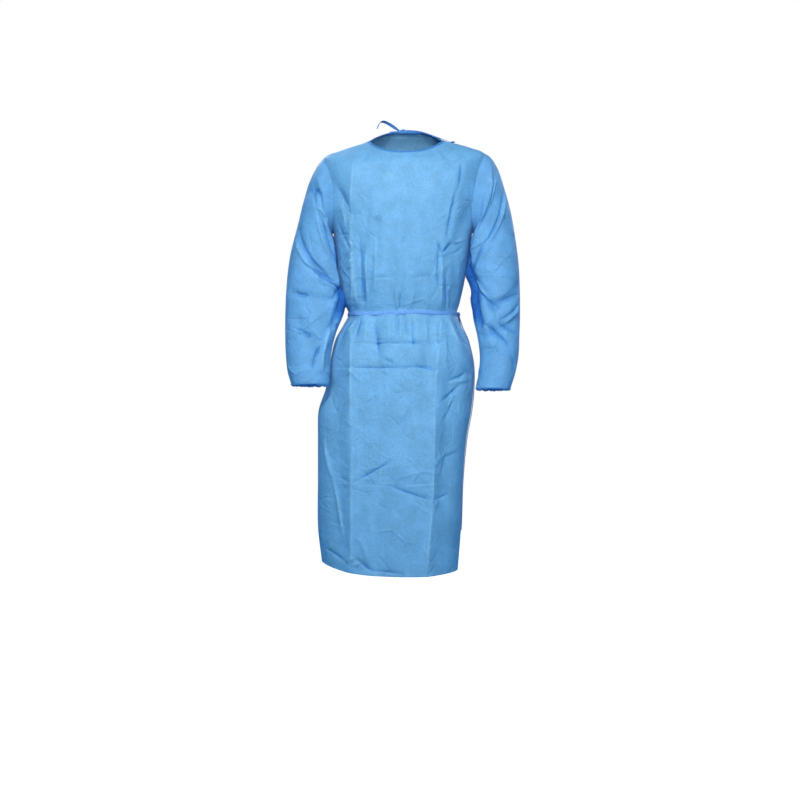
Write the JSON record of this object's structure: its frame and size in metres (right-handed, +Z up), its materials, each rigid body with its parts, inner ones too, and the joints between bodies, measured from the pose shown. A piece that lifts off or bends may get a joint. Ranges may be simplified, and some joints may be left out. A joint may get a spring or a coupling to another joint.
{
  "type": "surgical gown",
  "caption": "Disposable long-sleeved surgical gown, worn and hollow, with a wrap-over back, elastic cuffs, a bound tie neck and a narrow waist belt",
  "frame": {"origin": "the point where the wearer's shoulders hold the gown, midway between the sides of the neck", "axes": "-Y is the front, +X is the wearer's left, +Z is up"},
  "size_m": [0.5833, 0.3086, 1.1369],
  "materials": {
    "cloth": "light blue spunbond non-woven with a faint sheen",
    "elastic": "the same cloth gathered over elastic",
    "binding": "folded strip of the same cloth, a little darker",
    "belt": "folded strip of the same cloth"
  },
  "bodies": {
    "root": {"front_panel": "cloth", "back_panel_right": "cloth", "back_panel_left": "cloth", "sleeve_right": "cloth", "sleeve_left": "cloth", "cuff_right": "elastic", "cuff_left": "elastic", "neck_binding": "binding", "neck_knot": "binding", "neck_tie_right": "binding", "neck_tie_left": "binding", "belt": "belt", "belt_knot": "belt", "belt_tail_front": "belt", "belt_tail_back": "belt"}
  },
  "joints": []
}
